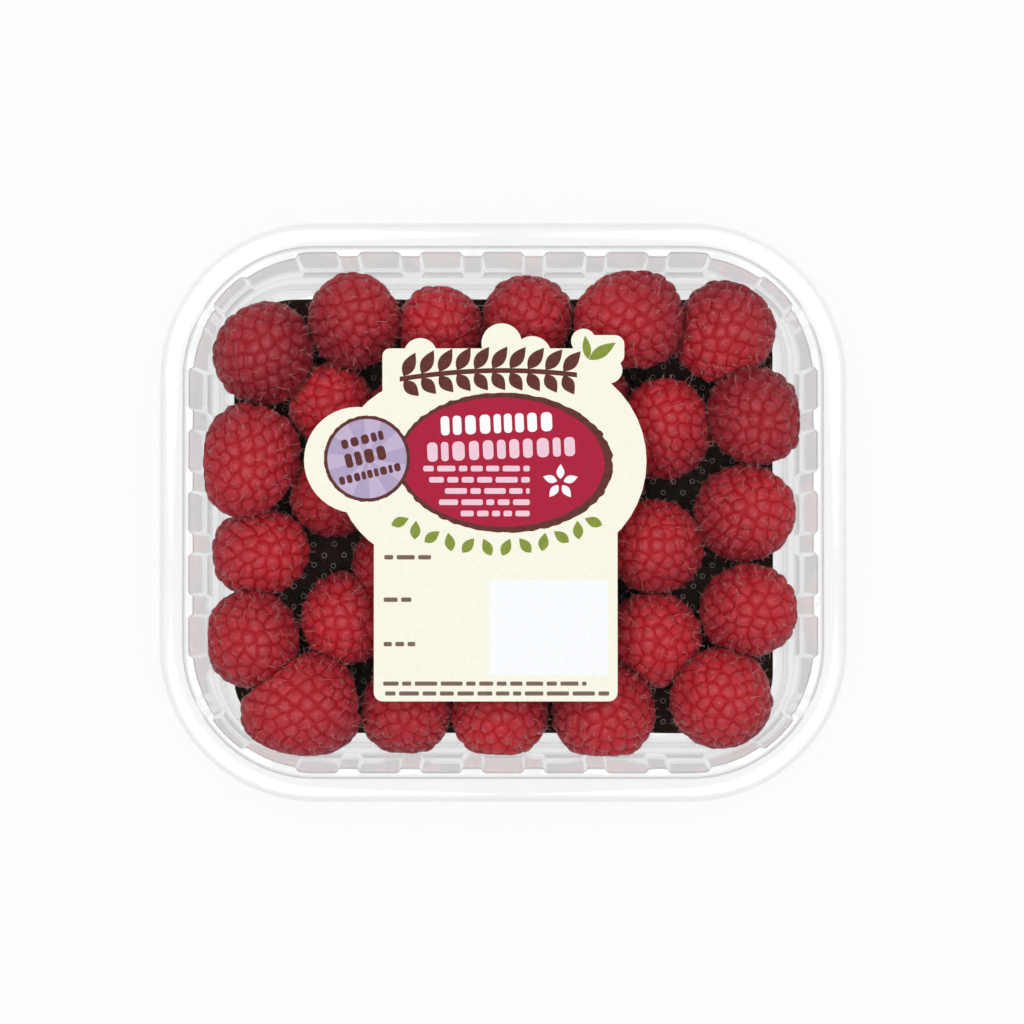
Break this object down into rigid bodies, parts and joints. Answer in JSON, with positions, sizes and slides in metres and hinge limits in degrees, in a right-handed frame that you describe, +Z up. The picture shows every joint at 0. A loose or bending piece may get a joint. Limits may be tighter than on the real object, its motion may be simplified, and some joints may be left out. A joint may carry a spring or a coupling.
{
  "type": "punnet of raspberries",
  "caption": "Clear ribbed plastic tray with rounded corners, lined with a black pad and one layer of raspberries, sealed with clear film and topped with a die-cut paper label.",
  "frame": {"origin": "centre of the tray's flat base, on the surface it stands on", "axes": "+X along the tray's long side, to the right of the upright label; +Y along the short side, towards the label's scalloped top; +Z up"},
  "size_m": [0.14, 0.118, 0.0367],
  "materials": {
    "clear_sheet": "clear thermoformed plastic sheet, glossy",
    "black_pad": "dark absorbent pad with a perforated film skin",
    "raspberry_skin": "moist soft fruit with fine hairs",
    "clear_film": "clear lidding film, taut and glossy",
    "label_paper": "smooth cream paper, printed"
  },
  "bodies": {
    "root": {"tray": "clear_sheet", "pad": "black_pad", "raspberries": "raspberry_skin", "film": "clear_film", "label": "label_paper"}
  },
  "joints": []
}
